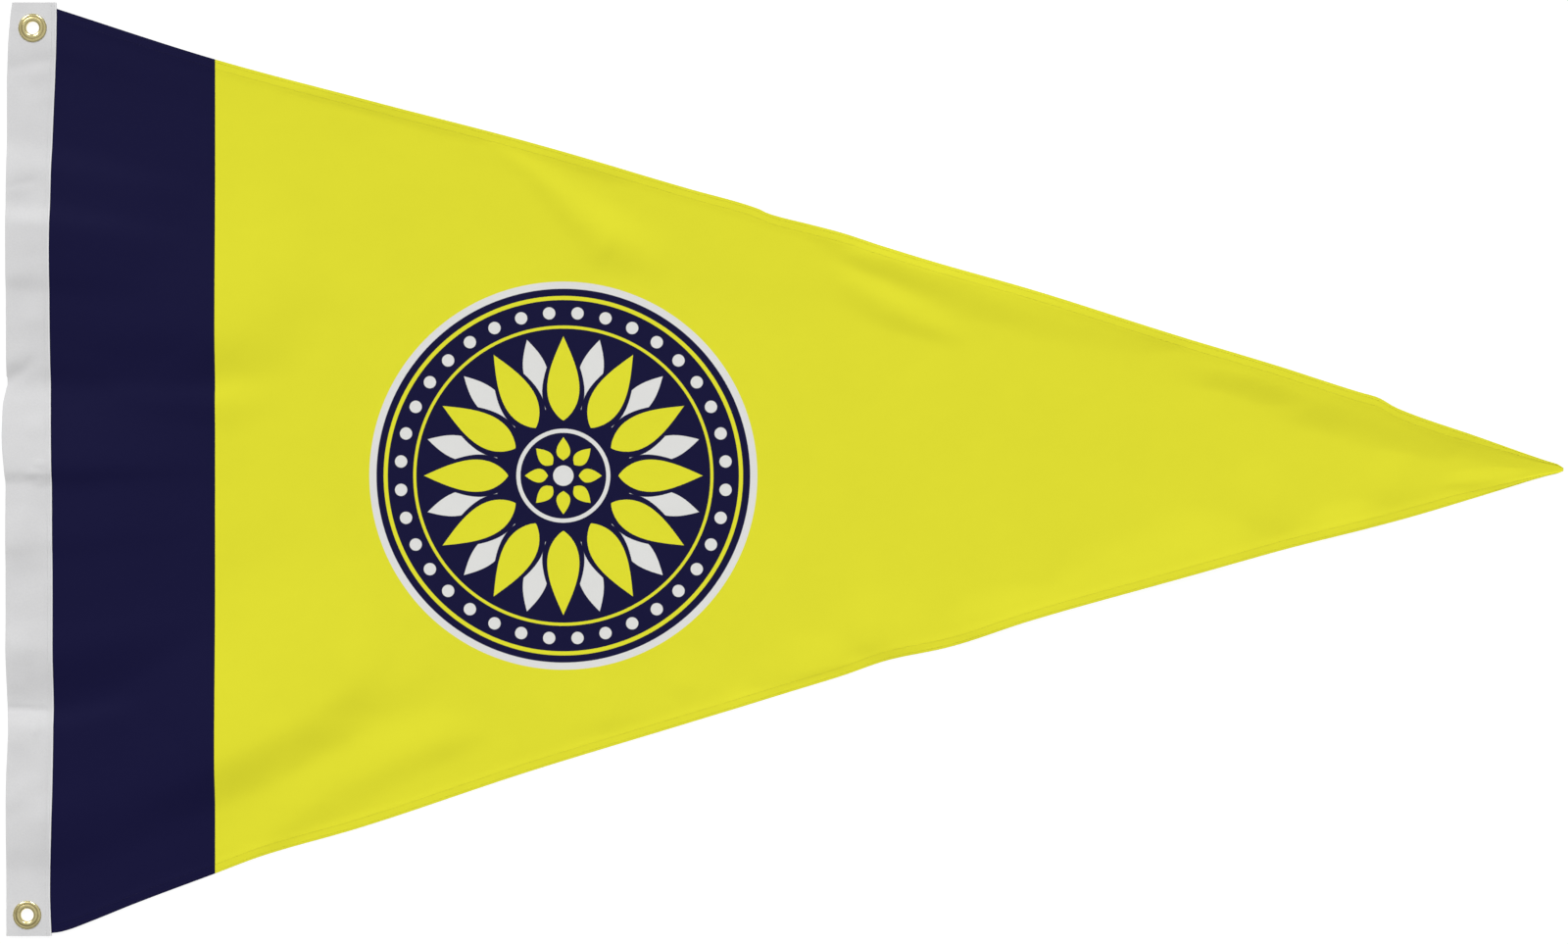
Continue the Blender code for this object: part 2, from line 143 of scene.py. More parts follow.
# Folds: each is a soft ridge along a line of crest points, from left to right, with its height at each
# point and how far it slopes down on its upper and on its lower side
Crest = namedtuple("Crest", "x y height upper lower")
FOLDS = (
    # lower corner beside the band: the large fold, the smaller one under it, and a soft one above
    (Crest(122, -325, 3.0, 90, 50), Crest(223, -277, 7.0, 150, 50), Crest(285, -246, 5.6, 170, 46),
     Crest(333, -214, 4.2, 150, 44), Crest(386, -203, 1.2, 80, 36)),
    (Crest(237, -380, 0.8, 36, 20), Crest(285, -339, 1.7, 40, 24), Crest(333, -310, 2.0, 40, 32),
     Crest(381, -284, 2.0, 40, 30), Crest(429, -265, 2.1, 36, 26), Crest(458, -258, 0.8, 30, 20)),
    (Crest(318, -170, 0.6, 70, 32), Crest(356, -154, 1.3, 80, 36), Crest(390, -148, 0.6, 70, 36)),
    # beside the band at mid height
    (Crest(115, 140, 4.0, 150, 54), Crest(210, 136, 4.8, 160, 54), Crest(237, 150, 4.0, 150, 56),
     Crest(258, 145, 1.9, 70, 34), Crest(276, 139, 0.2, 24, 12)),
    (Crest(120, 64, 1.6, 28, 31), Crest(218, 64, 1.9, 26, 33), Crest(237, 66, 1.0, 28, 28),
     Crest(262, 70, 0.2, 24, 20)),
    # upper hem, first third, and the fold that leaves it downwards
    (Crest(271, 377, 0.3, 14, 10), Crest(328, 367, 0.9, 14, 12), Crest(381, 356, 1.2, 16, 16),
     Crest(429, 343, 0.9, 16, 18), Crest(477, 331, 0.3, 14, 14)),
    (Crest(482, 314, 0.4, 9, 12), Crest(516, 294, 1.2, 12, 16), Crest(554, 258, 2.5, 27, 22),
     Crest(592, 226, 3.6, 37, 36), Crest(631, 208, 1.2, 32, 30)),
    (Crest(535, 313, 0.2, 10, 12), Crest(554, 308, 0.8, 12, 14), Crest(592, 296, 1.3, 14, 19),
     Crest(618, 287, 0.2, 12, 14)),
    # upper hem, second third, and the ridge under it
    (Crest(794, 236, 0.5, 12, 16), Crest(832, 213, 1.4, 16, 15), Crest(871, 203, 2.3, 17, 20),
     Crest(909, 190, 2.4, 18, 24), Crest(957, 174, 2.3, 22, 30), Crest(1015, 157, 1.8, 26, 34),
     Crest(1072, 145, 1.2, 24, 30), Crest(1111, 136, 1.2, 20, 23), Crest(1140, 131, 1.3, 18, 19),
     Crest(1178, 118, 0.4, 12, 12)),
    (Crest(813, 194, 0.4, 14, 20), Crest(832, 181, 1.5, 18, 26), Crest(871, 157, 2.4, 25, 25),
     Crest(909, 142, 1.5, 21, 18), Crest(938, 131, 0.3, 16, 14)),
    # upper side towards the tip, high along the hem and falling away from it
    (Crest(1180, 102, 0.6, 80, 22), Crest(1197, 99, 2.7, 90, 25), Crest(1245, 90, 3.9, 110, 33),
     Crest(1293, 73, 3.9, 110, 39), Crest(1341, 68, 4.3, 110, 52), Crest(1389, 48, 3.3, 90, 39),
     Crest(1437, 33, 2.6, 70, 27), Crest(1476, 20, 1.6, 50, 20), Crest(1509, 9, 0.5, 30, 11)),
    (Crest(1412, -12, 0.3, 12, 9), Crest(1437, -12, 1.0, 14, 11), Crest(1482, -9, 0.8, 14, 10)),
    # lower side towards the tip: the hem is lifted here and there, with soft dents between
    (Crest(853, -168, 1.8, 66, 24), Crest(882, -172, 1.6, 60, 24)),
    (Crest(958, -160, 2.0, 46, 24), Crest(988, -154, 2.8, 44, 24), Crest(1034, -140, 1.6, 34, 24),
     Crest(1082, -124, 1.8, 58, 24), Crest(1130, -112, 2.6, 62, 24), Crest(1168, -103, 3.6, 72, 24),
     Crest(1197, -94, 2.8, 66, 24), Crest(1212, -90, 0.6, 60, 24)),
    (Crest(1209, -44, 0.3, 60, 30), Crest(1237, -42, 1.3, 60, 32), Crest(1268, -40, 0.3, 60, 30)),
    (Crest(1282, -68, 0.4, 30, 16), Crest(1302, -63, 1.8, 36, 16), Crest(1330, -56, 1.6, 34, 16),
     Crest(1344, -52, 0.2, 30, 16)),
    (Crest(1334, -20, 0.2, 40, 22), Crest(1362, -17, 1.3, 40, 28), Crest(1394, -14, 0.3, 40, 18)),
    # puckers beside the lower hem
    (Crest(565, -246, 0.4, 50, 20), Crest(592, -240, 1.3, 60, 22), Crest(624, -233, 0.4, 50, 20)),
    (Crest(652, -213, 0.2, 40, 14), Crest(668, -212, 0.6, 40, 15), Crest(686, -211, 0.2, 40, 14)),
    (Crest(704, -237, 0.4, 24, 12), Crest(722, -232, 1.2, 26, 12), Crest(741, -227, 0.4, 24, 12)),
    (Crest(748, -206, 0.4, 36, 12), Crest(784, -197, 1.1, 40, 12), Crest(813, -189, 1.1, 40, 12),
     Crest(834, -184, 0.3, 34, 12)),
)
FOLD_ROUNDNESS = 2.0
FOLD_WANDER = 2.0
WANDER_SIZE = 55.0

# Rows across the cloth beside each long edge: distance from the edge, and share of the hem's extra
# thickness there, rolled at the fold and stepped down at the turned edge
HemRow = namedtuple("HemRow", "distance thick")
HEM_ROWS = (
    HemRow(0.0, 0.85), HemRow(0.5, 0.95), HemRow(1.2, 1.0), HemRow(3.0, 1.0), HemRow(5.5, 1.0),
    HemRow(8.0, 0.96), HemRow(10.0, 0.86), HemRow(11.6, 0.6), HemRow(13.2, 0.3), HemRow(15.0, 0.1),
    HemRow(17.0, 0.0),
)
INNER_ROWS = 118
TUCK_COLUMNS = (-TUCK, -0.5 * TUCK, 0.0, SEAM_LEVEL)
BAND_COLUMNS = 34
FIELD_COLUMNS = 250


def eased(share):
    """Eases shares from 0 to 1, level at both ends."""
    share = np.clip(share, 0.0, 1.0)
    return share * share * (3.0 - 2.0 * share)


def smooth_line(rows, key, name, at):
    """Reads a column of a table along a smooth line through its rows, without overshooting them."""
    knots = np.array([getattr(row, key) for row in rows])
    values = np.array([getattr(row, name) for row in rows])
    slopes = np.diff(values) / np.diff(knots)
    product = slopes[:-1] * slopes[1:]
    total = np.where(product > 0.0, slopes[:-1] + slopes[1:], 1.0)
    middle = np.where(product > 0.0, 2.0 * product / total, 0.0)
    tangents = np.concatenate(([slopes[0]], middle, [slopes[-1]]))
    at = np.clip(np.asarray(at, float), knots[0], knots[-1])
    place = np.clip(np.searchsorted(knots, at, side="right") - 1, 0, len(knots) - 2)
    span = knots[place + 1] - knots[place]
    t = (at - knots[place]) / span
    return (
        values[place] * (1 + 2 * t) * (1 - t) ** 2
        + tangents[place] * span * t * (1 - t) ** 2
        + values[place + 1] * t * t * (3 - 2 * t)
        + tangents[place + 1] * span * t * t * (t - 1)
    )


def noise_at(x, y, size, seed):
    """Soft noise from -1 to 1 over points of the flag."""
    places = zip((x / size).flat, (y / size).flat)
    return np.array([noise.noise(Vector((across, up, seed))) for across, up in places]).reshape(x.shape)


def fold_heights(x, y):
    """Heights of the folds over points of the flag: each crest wanders a little and dies out softly."""
    x = x + FOLD_WANDER * noise_at(x, y, WANDER_SIZE, WANDER_SEEDS[0])
    y = y + FOLD_WANDER * noise_at(x, y, WANDER_SIZE, WANDER_SEEDS[1])
    total = np.zeros_like(x)
    for crests in FOLDS:
        ridge = np.zeros_like(x)
        for start, end in zip(crests, crests[1:]):
            line_x, line_y = end.x - start.x, end.y - start.y
            length = math.hypot(line_x, line_y)
            along = np.clip(((x - start.x) * line_x + (y - start.y) * line_y) / length ** 2, 0.0, 1.0)
            off_x = x - start.x - along * line_x
            off_y = y - start.y - along * line_y
            away = np.hypot(off_x, off_y)
            side = (line_x * off_y - line_y * off_x) / np.maximum(length * away, 1e-6)
            upper = start.upper + along * (end.upper - start.upper)
            lower = start.lower + along * (end.lower - start.lower)
            share = np.minimum(away / (0.5 * (upper + lower) + 0.5 * (upper - lower) * side), 1.0)
            height = start.height + along * (end.height - start.height)
            ridge = np.maximum(ridge, height * (1.0 - share) ** 2 * (1.0 + FOLD_ROUNDNESS * share))
        total += ridge ** FOLD_BLEND
    return total ** (1.0 / FOLD_BLEND)


def edge_fit(height):
    """How much of their full width the hems keep where the flag is this high, down to the tip."""
    return np.minimum(1.0, HEM_SHARE * height / HEM_ROWS[-1].distance)


# Distances of the rows at the hoist, and the share of the inner rows between the two hems
top = float(smooth_line(UPPER_EDGE, "x", "y", 0.0))
bottom = float(smooth_line(LOWER_EDGE, "x", "y", 0.0))
hem_steps = np.array([row.distance for row in HEM_ROWS])
hem_thick = np.array([row.thick for row in HEM_ROWS])
inner_share = np.linspace(0.0, 1.0, INNER_ROWS + 1)[1:-1]
inner_hoist = bottom + hem_steps[-1] + inner_share * (top - bottom - 2 * hem_steps[-1])
row_hoist = np.concatenate((bottom + hem_steps, inner_hoist, top - hem_steps[::-1]))
row_seam = smooth_line(HOIST, "y", "seam", row_hoist)
row_lift = smooth_line(HOIST, "y", "lift", row_hoist)
row_thick = np.concatenate((hem_thick, np.zeros(len(inner_share)), hem_thick[::-1]))
rows = len(row_hoist)

# Distances of the columns from the hoist, following the seam at first and upright past the band
band_share = np.linspace(0.0, 1.0, BAND_COLUMNS + 1)[1:]
tuck_steps = np.array(TUCK_COLUMNS)
tucked = row_seam[:, None] + tuck_steps[None, :]
across_band = tucked[:, -1:] * (1.0 - band_share) + BAND_END * band_share
across_field = np.linspace(BAND_END, TIP, FIELD_COLUMNS + 1)[1:]
cloth_x = np.hstack((tucked, across_band, np.broadcast_to(across_field, (rows, FIELD_COLUMNS))))
columns = cloth_x.shape[1]

# Heights of the rows along the flag: the hem rows keep to the edges, the inner rows share what is between
upper = smooth_line(UPPER_EDGE, "x", "y", cloth_x)
lower = smooth_line(LOWER_EDGE, "x", "y", cloth_x)
fit = edge_fit(upper - lower)
inner_low = lower + hem_steps[-1] * fit
inner_high = upper - hem_steps[-1] * fit
cloth_y = np.empty_like(cloth_x)
hems = len(hem_steps)
cloth_y[:hems] = lower[:hems] + hem_steps[:, None] * fit[:hems]
cloth_y[-hems:] = upper[-hems:] - hem_steps[::-1, None] * fit[-hems:]
inner = slice(hems, rows - hems)
cloth_y[inner] = inner_low[inner] * (1.0 - inner_share[:, None]) + inner_high[inner] * inner_share[:, None]

# Heights off the ground: held up by the tape at the seam, on the ground or on a fold past it
past_seam = cloth_x - row_seam[:, None] - SEAM_LEVEL
held = TUCK_HEIGHT * (1.0 - eased(past_seam / SEAM_FALL))
wave = row_lift[:, None] * (1.0 - eased(past_seam / WAVE_REACH))
folds = (wave ** FOLD_BLEND + fold_heights(cloth_x, cloth_y) ** FOLD_BLEND) ** (1.0 / FOLD_BLEND)
free = eased(past_seam / SEAM_FALL)
crinkle = CRINKLE_HEIGHT * (0.5 + 0.5 * noise_at(cloth_x, cloth_y, CRINKLE_SIZE, CRINKLE_SEED)) * free
from_edge = np.minimum(upper - cloth_y, cloth_y - lower)
near_hem = np.exp(-(((from_edge - HEM_WIDTH) / PUCKER_REACH) ** 2)) * free * fit
ripple = 0.5 + 0.5 * noise_at(cloth_x, PUCKER_STRETCH * cloth_y, PUCKER_LENGTH, PUCKER_SEED)
cloth_z = held + folds + crinkle + PUCKER_HEIGHT * ripple * near_hem


def grid_sheet(name, places):
    """A grid put in place point by point; places holds x, y and z in mm for each row and column."""
    count_y, count_x = places.shape[:2]
    bpy.ops.mesh.primitive_grid_add(x_subdivisions=count_x - 1, y_subdivisions=count_y - 1, size=2.0)
    sheet = bpy.context.object
    sheet.name = name
    sheet.data.name = name
    world = places * MM + np.array((hoist_x, middle_y, 0.0))
    sheet.data.vertices.foreach_set("co", world.reshape(-1))
    return sheet


def map_sheet(sheet, name, places):
    """Gives a sheet a UV map in metres of its own flat cloth."""
    flat = (places * MM).reshape(-1, 2)
    corners = np.empty(len(sheet.data.loops), int)
    sheet.data.loops.foreach_get("vertex_index", corners)
    layer = sheet.data.uv_layers[0]
    layer.name = name
    layer.data.foreach_set("uv", flat[corners].reshape(-1))


def apply_all(piece):
    """Applies the modifiers of a piece."""
    bpy.ops.object.select_all(action="DESELECT")
    piece.select_set(True)
    bpy.context.view_layer.objects.active = piece
    for modifier in list(piece.modifiers):
        bpy.ops.object.modifier_apply(modifier=modifier.name)


flag_cloth = grid_sheet("flag_cloth", np.dstack((cloth_x, cloth_y, cloth_z)))
map_sheet(flag_cloth, "print", np.dstack((cloth_x, cloth_y)))
thick_group = flag_cloth.vertex_groups.new(name="hem")
fade_in = eased((cloth_x - row_seam[:, None] - SEAM_LEVEL) / HEM_WIDTH)
weights = (row_thick[:, None] * fade_in).reshape(-1)
for index in np.nonzero(weights > 0.0)[0]:
    thick_group.add([int(index)], float(weights[index]), "REPLACE")
thickness = flag_cloth.modifiers.new("thickness", "SOLIDIFY")
thickness.thickness = HEM_THICKNESS * MM
thickness.offset = 1.0
thickness.vertex_group = thick_group.name
thickness.thickness_vertex_group = CLOTH_THICKNESS / HEM_THICKNESS
thickness.material_offset = 1


class Value:
    """A socket that adds and multiplies like a number: each sum puts its Math node in the material."""

    def __init__(self, nodes, socket):
        self.nodes = nodes
        self.socket = socket

    def node(self, kind, settings, inputs, output=0):
        """Adds a node of any kind: first its settings, then the values or links of its sockets."""
        made = self.nodes.new(kind)
        for name, setting in settings.items():
            setattr(made, name, setting)
        for name, given in inputs.items():
            if isinstance(given, Value):
                self.nodes.id_data.links.new(given.socket, made.inputs[name])
            else:
                made.inputs[name].default_value = given
        return Value(self.nodes, made.outputs[output])

    def math(self, operation, *others, first=None):
        values = [self if first is None else first, *others]
        return self.node("ShaderNodeMath", {"operation": operation}, dict(enumerate(values)))

    def __add__(self, other):
        return self.math("ADD", other)

    def __sub__(self, other):
        return self.math("SUBTRACT", other)

    def __rsub__(self, other):
        return self.math("SUBTRACT", self, first=other)

    def __mul__(self, other):
        return self.math("MULTIPLY", other)

    def __truediv__(self, other):
        return self.math("DIVIDE", other)

    __radd__ = __add__
    __rmul__ = __mul__

    def clamped(self):
        """The value kept from 0 to 1."""
        return self.node("ShaderNodeClamp", {}, {"Value": self})

    def inside(self, limit, soft):
        """1 where the value is under a limit and 0 over it, with a soft edge."""
        return ((limit - self) / soft + 0.5).clamped()

    def mixed(self, low, high):
        """A colour mixed from low to high by this value."""
        return self.node("ShaderNodeMix", {"data_type": "RGBA"}, {0: self, 6: low, 7: high}, output=2)


def new_material(name, constants):
    """A material with its Principled shader's constant sockets set; returns it, the shader and a socket."""
    material = bpy.data.materials.new(name)
    material.use_nodes = True
    shader = material.node_tree.nodes["Principled BSDF"]
    for socket, value in constants.items():
        shader.inputs[socket].default_value = value
    return material, shader, Value(material.node_tree.nodes, None)


def feed(material, shader, links):
    """Links values to the shader's sockets."""
    for socket, value in links.items():
        material.node_tree.links.new(value.socket, shader.inputs[socket])


# Print colours, and the rosette printed where the field is widest
YELLOW = (0.722, 0.704, 0.029, 1.0)
NAVY = (0.0068, 0.0062, 0.039, 1.0)
OFF_WHITE = (0.716, 0.716, 0.70, 1.0)
BARE_CLOTH = (0.62, 0.62, 0.58, 1.0)
ROSETTE_X = 549.0
ROSETTE_Y = -6.0
ROSETTE_RADIUS = 190.0
RIM_WIDTH = 7.0
OUTER_RING = (172.0, 176.0)
INNER_RING = (144.0, 147.0)
BEADS = 36
BEAD_CIRCLE = 159.5
BEAD_RADIUS = 6.0
HEART_RADIUS = 50.0
HEART_RING = (42.0, 46.0)
BUTTON_RADIUS = 10.0
PRINT_EDGE = 0.5
WEAVE_PITCH = 0.5
WEAVE_DEPTH = 0.05
WRINKLE_DEPTH = 1.0
BACK_BARENESS = 0.22

Petals = namedtuple("Petals", "count turn start end width swell")
OUTLINE_PETALS = Petals(12, 0.0, 50.0, 143.0, 21.0, 0.7)
YELLOW_PETALS = Petals(12, 0.0, 54.0, 137.0, 16.0, 0.75)
WHITE_PETALS = Petals(12, 0.5, 66.0, 138.0, 12.0, 1.1)
HEART_PETALS = Petals(8, 0.0, 15.0, 38.0, 7.0, 0.8)


def petal_mask(angle, radius, petals):
    """A ring of like petals: each widens from its root and narrows to its end."""
    turns = angle * (petals.count / math.tau) + petals.turn
    spoke = (turns.math("FRACT") - 0.5).math("ABSOLUTE")
    off_axis = (0.5 - spoke) * (math.tau / petals.count)
    distance = off_axis.math("SINE") * radius
    along = ((radius - petals.start) * (1.0 / (petals.end - petals.start))).clamped()
    swell = along.math("POWER", petals.swell) * math.pi
    half_width = swell.math("SINE") * petals.width
    return ((half_width - distance) / PRINT_EDGE).clamped()


def ring_mask(radius, ring):
    """1 between the two radii of a ring."""
    low, high = ring
    return radius.inside(high, PRINT_EDGE) * (1.0 - radius.inside(low, PRINT_EDGE))


def rosette_colour(x, y, ground):
    """The rosette over the ground colour: an off-white rim, a navy disc, then rings, beads and petals."""
    dx, dy = x - ROSETTE_X, y - ROSETTE_Y
    radius = (dx * dx + dy * dy).math("SQRT")
    angle = dy.math("ARCTAN2", dx) + math.pi
    colour = radius.inside(ROSETTE_RADIUS, PRINT_EDGE).mixed(ground, OFF_WHITE)
    colour = radius.inside(ROSETTE_RADIUS - RIM_WIDTH, PRINT_EDGE).mixed(colour, NAVY)
    colour = ring_mask(radius, OUTER_RING).mixed(colour, YELLOW)
    colour = ring_mask(radius, INNER_RING).mixed(colour, YELLOW)
    bead = (angle * (BEADS / math.tau)).math("FRACT") - 0.5
    bead_x = bead * (math.tau / BEADS) * BEAD_CIRCLE
    bead_y = radius - BEAD_CIRCLE
    bead_away = (bead_x * bead_x + bead_y * bead_y).math("SQRT")
    colour = bead_away.inside(BEAD_RADIUS, PRINT_EDGE).mixed(colour, OFF_WHITE)
    colour = petal_mask(angle, radius, WHITE_PETALS).mixed(colour, OFF_WHITE)
    colour = petal_mask(angle, radius, OUTLINE_PETALS).mixed(colour, NAVY)
    colour = petal_mask(angle, radius, YELLOW_PETALS).mixed(colour, YELLOW)
    colour = radius.inside(HEART_RADIUS, PRINT_EDGE).mixed(colour, NAVY)
    colour = ring_mask(radius, HEART_RING).mixed(colour, OFF_WHITE)
    colour = petal_mask(angle, radius, HEART_PETALS).mixed(colour, YELLOW)
    return radius.inside(BUTTON_RADIUS, PRINT_EDGE).mixed(colour, OFF_WHITE)


def printed_cloth(name, bare):
    """Printed polyester; bare is the share of undyed cloth that shows, which is none in front."""
    material, shader, start = new_material(name, {"Specular IOR Level": 0.06})
    flat = start.node("ShaderNodeUVMap", {"uv_map": "print"}, {})
    x = flat.node("ShaderNodeSeparateXYZ", {}, {0: flat}, output=0) / MM
    y = flat.node("ShaderNodeSeparateXYZ", {}, {0: flat}, output=1) / MM
    dyed = rosette_colour(x, y, YELLOW)
    dyed = x.inside(BAND_END, PRINT_EDGE).mixed(dyed, NAVY)
    cloudy = flat.node("ShaderNodeTexNoise", {}, {"Vector": flat, "Scale": 14.0, "Detail": 3.0}, output=0)
    fibre = flat.node("ShaderNodeTexNoise", {}, {"Vector": flat, "Scale": 900.0, "Detail": 2.0}, output=0)
    shade = (cloudy - 0.5) * 0.05 + (fibre - 0.5) * 0.06 + 1.0
    dyed = dyed.node("ShaderNodeMix", {"data_type": "RGBA"}, {0: bare, 6: dyed, 7: BARE_CLOTH}, output=2)
    grey = shade.node("ShaderNodeCombineXYZ", {}, {0: shade, 1: shade, 2: shade})
    colour = shade.node("ShaderNodeVectorMath", {"operation": "MULTIPLY"}, {0: dyed, 1: grey})
    warp = (x * (math.tau / WEAVE_PITCH)).math("SINE")
    weft = (y * (math.tau / WEAVE_PITCH)).math("SINE")
    crepe = flat.node("ShaderNodeTexNoise", {}, {"Vector": flat, "Scale": 45.0, "Detail": 4.0}, output=0)
    height = (warp * weft * WEAVE_DEPTH + crepe * WRINKLE_DEPTH) * MM
    bump = height.node("ShaderNodeBump", {}, {"Height": height, "Distance": 1.0, "Strength": 0.35})
    rough = (fibre - 0.5) * 0.2 + 0.62
    feed(material, shader, {"Base Color": colour, "Roughness": rough, "Normal": bump})
    return material


flag_cloth.data.materials.append(printed_cloth("printed_face", 0.0))
flag_cloth.data.materials.append(printed_cloth("printed_back", BACK_BARENESS))
apply_all(flag_cloth)
flag_cloth.data.shade_smooth()
flag_cloth.data.set_sharp_from_angle(angle=math.radians(CLOTH_EDGE_ANGLE))
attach(flag_cloth, "root")
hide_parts("field")


# The heading: a strip of white canvas tape folded in half round the hoist edge of the cloth and sewn
# through it beside the seam. It is stiffer than the cloth, so it stands in waves, and its cut ends are
# pressed flat between the flanges of the eyelets and their washers.
TAPE_SPACE = 0.8
TAPE_ROWS = 300
TAPE_COLUMNS = 18
NOSE_STEPS = 6
DIMPLE_DEPTH = 0.16
DIMPLE_WIDTH = 1.4
STITCH_ROWS = (1.8, 4.8)
FLANGE_RADIUS = 14.0
PRESSED = 0.22
PRESS_REACH = 7.0
TAPE_CRINKLE = 0.3
TAPE_CRINKLE_SIZE = 16.0
TAPE_CRINKLE_STRETCH = 0.4
TAPE_CRINKLE_SEED = 21.0
TAPE_HOLE = 7.4
PUNCH_SIDES = 64
PUNCH_DEPTH = 20.0
SEWN_REACH = 6.0
SEWN_HOLD = 0.8
RELIEF_FLOOR = -0.1
BACK_RELIEF = 0.4
COLUMN_CROWDING = 1.3
TAPE_EDGE_ANGLE = 50.0
# Painted highlight along the front's sewn edge: the strip's width, how much brighter it is painted, and its
# soft edge
EDGE_HIGHLIGHT_WIDTH = 1.3
EDGE_HIGHLIGHT_STRENGTH = 0.14
EDGE_HIGHLIGHT_SOFTNESS = 0.4
CANVAS_WHITE = (0.650, 0.649, 0.655)
CANVAS_PITCH = 0.6
CANVAS_DEPTH = 0.12

# Creases across the tape from point to point, and mounds with their reach across, above and below
Crease = namedtuple("Crease", "x1 y1 x2 y2 width height")
CREASES = (
    Crease(0, 392, 54, 402, 5.5, -0.5),
    Crease(2, 276, 30, 282, 3.5, -0.5),
    Crease(36, 6, 49, 5, 3.0, 0.7),
    Crease(28, -4, 49, -5, 3.0, 0.9),
    Crease(36, -12, 49, -11, 3.0, 0.7),
    Crease(4, 86, 26, 102, 7.0, -1.0),
    Crease(5, -323, 35, -303, 11.0, 0.7),
    Crease(33, -233, 34, -258, 2.5, 0.6),
    Crease(6, -233, 46, -236, 2.5, -0.9),
)
Mound = namedtuple("Mound", "x y across above below height")
MOUNDS = (
    Mound(35, 388, 13, 8, 9, 0.5),
    Mound(24, 352, 18, 20, 24, 0.8),
    Mound(18, 300, 15, 26, 22, 1.6),
    Mound(12, 275, 12, 13, 11, 0.7),
    Mound(18, 192, 15, 34, 18, 1.3),
    Mound(33, 148, 16, 17, 15, 0.9),
    Mound(9, 109, 16, 18, 14, 1.1),
    Mound(36, 41, 13, 13, 12, 0.8),
    Mound(16, 24, 15, 34, 18, 0.8),
    Mound(18, -75, 15, 42, 18, 2.0),
    Mound(21, -176, 15, 42, 20, 1.3),
    Mound(16, -210, 12, 14, 11, 0.6),
    Mound(18, -262, 15, 12, 12, 0.7),
    Mound(36, -352, 14, 44, 30, 1.6),
)


def tape_relief(x, y):
    """Small relief of the tape's face: creases, mounds, needle dimples, and the ends pressed flat."""
    seam = smooth_line(HOIST, "y", "seam", y)
    relief = TAPE_CRINKLE * noise_at(x * TAPE_CRINKLE_STRETCH, y, TAPE_CRINKLE_SIZE, TAPE_CRINKLE_SEED)
    for crease in CREASES:
        line_x, line_y = crease.x2 - crease.x1, crease.y2 - crease.y1
        along = ((x - crease.x1) * line_x + (y - crease.y1) * line_y) / (line_x ** 2 + line_y ** 2)
        along = np.clip(along, 0.0, 1.0)
        away = np.hypot(x - crease.x1 - along * line_x, y - crease.y1 - along * line_y)
        relief += crease.height * np.exp(-((away / crease.width) ** 2))
    for mound in MOUNDS:
        off_x, off_y = x - mound.x, y - mound.y
        reach = np.where(off_y > 0.0, mound.above, mound.below)
        relief += mound.height * np.exp(-((off_x / mound.across) ** 2) - (off_y / reach) ** 2)
    for row in STITCH_ROWS:
        relief -= DIMPLE_DEPTH * np.exp(-(((seam - x - row) / DIMPLE_WIDTH) ** 2))
    for eyelet in EYELETS:
        reach = np.hypot(x - eyelet.x, y - eyelet.y)
        pressed = 1.0 - eased((reach - FLANGE_RADIUS) / PRESS_REACH)
        relief = relief * (1.0 - pressed) + PRESSED * pressed
    sewn = SEWN_HOLD * np.exp(-(((seam - x) / SEWN_REACH) ** 2))
    return np.maximum(relief * (1.0 - sewn), RELIEF_FLOOR * sewn - (1.0 - sewn))


tape_y = np.linspace(HOIST[0].y, HOIST[-1].y, TAPE_ROWS + 1)
tape_edge = smooth_line(HOIST, "y", "edge", tape_y)
tape_seam = smooth_line(HOIST, "y", "seam", tape_y)
tape_lift = smooth_line(HOIST, "y", "lift", tape_y)
share = np.linspace(0.0, 1.0, TAPE_COLUMNS + 1)
share = 1.0 - (1.0 - share) ** COLUMN_CROWDING
fold_line = tape_edge + TAPE_LAYER + 0.5 * TAPE_SPACE
front_x = fold_line[:, None] * (1.0 - share) + tape_seam[:, None] * share
rows_y = np.broadcast_to(tape_y[:, None], front_x.shape)
front_z = TAPE_LAYER + TAPE_SPACE + tape_lift[:, None] + tape_relief(front_x, rows_y)
back_z = TAPE_LAYER + tape_lift[:, None] - BACK_RELIEF * tape_relief(front_x, rows_y)
back_z = np.maximum(back_z, TAPE_LAYER)
turns = np.linspace(-0.5 * math.pi, -1.5 * math.pi, NOSE_STEPS + 1)[1:-1]
nose_x = fold_line[:, None] + 0.5 * TAPE_SPACE * np.cos(turns)
nose_low, nose_high = back_z[:, :1], front_z[:, :1]
nose_z = 0.5 * (nose_low + nose_high) + 0.5 * (nose_high - nose_low) * np.sin(turns)
nose_y = np.broadcast_to(tape_y[:, None], nose_x.shape)
tape_x = np.hstack((front_x[:, ::-1], nose_x, front_x))
tape_all_y = np.hstack((rows_y, nose_y, rows_y))
tape_z = np.hstack((back_z[:, ::-1], nose_z, front_z))
steps = np.hypot(np.diff(tape_x, axis=1), np.diff(tape_z, axis=1))
tape_flat = np.hstack((np.cumsum(steps[:, ::-1], axis=1)[:, ::-1], np.zeros((len(tape_y), 1))))

heading_tape = grid_sheet("heading_tape", np.dstack((tape_x, tape_all_y, tape_z)))
map_sheet(heading_tape, "weave", np.dstack((tape_flat, tape_all_y)))
tape_thickness = heading_tape.modifiers.new("thickness", "SOLIDIFY")
tape_thickness.thickness = TAPE_LAYER * MM
tape_thickness.offset = 1.0
for eyelet in EYELETS:
    bpy.ops.object.select_all(action="DESELECT")
    bpy.ops.mesh.primitive_cylinder_add(
        vertices=PUNCH_SIDES, radius=TAPE_HOLE * MM, depth=PUNCH_DEPTH * MM,
        location=(hoist_x + eyelet.x * MM, middle_y + eyelet.y * MM, 0.0))
    punch = bpy.context.object
    hole = heading_tape.modifiers.new(f"{eyelet.name}_hole", "BOOLEAN")
    hole.object = punch
    hole.operation = "DIFFERENCE"
    apply_all(heading_tape)
    bpy.data.objects.remove(punch, do_unlink=True)


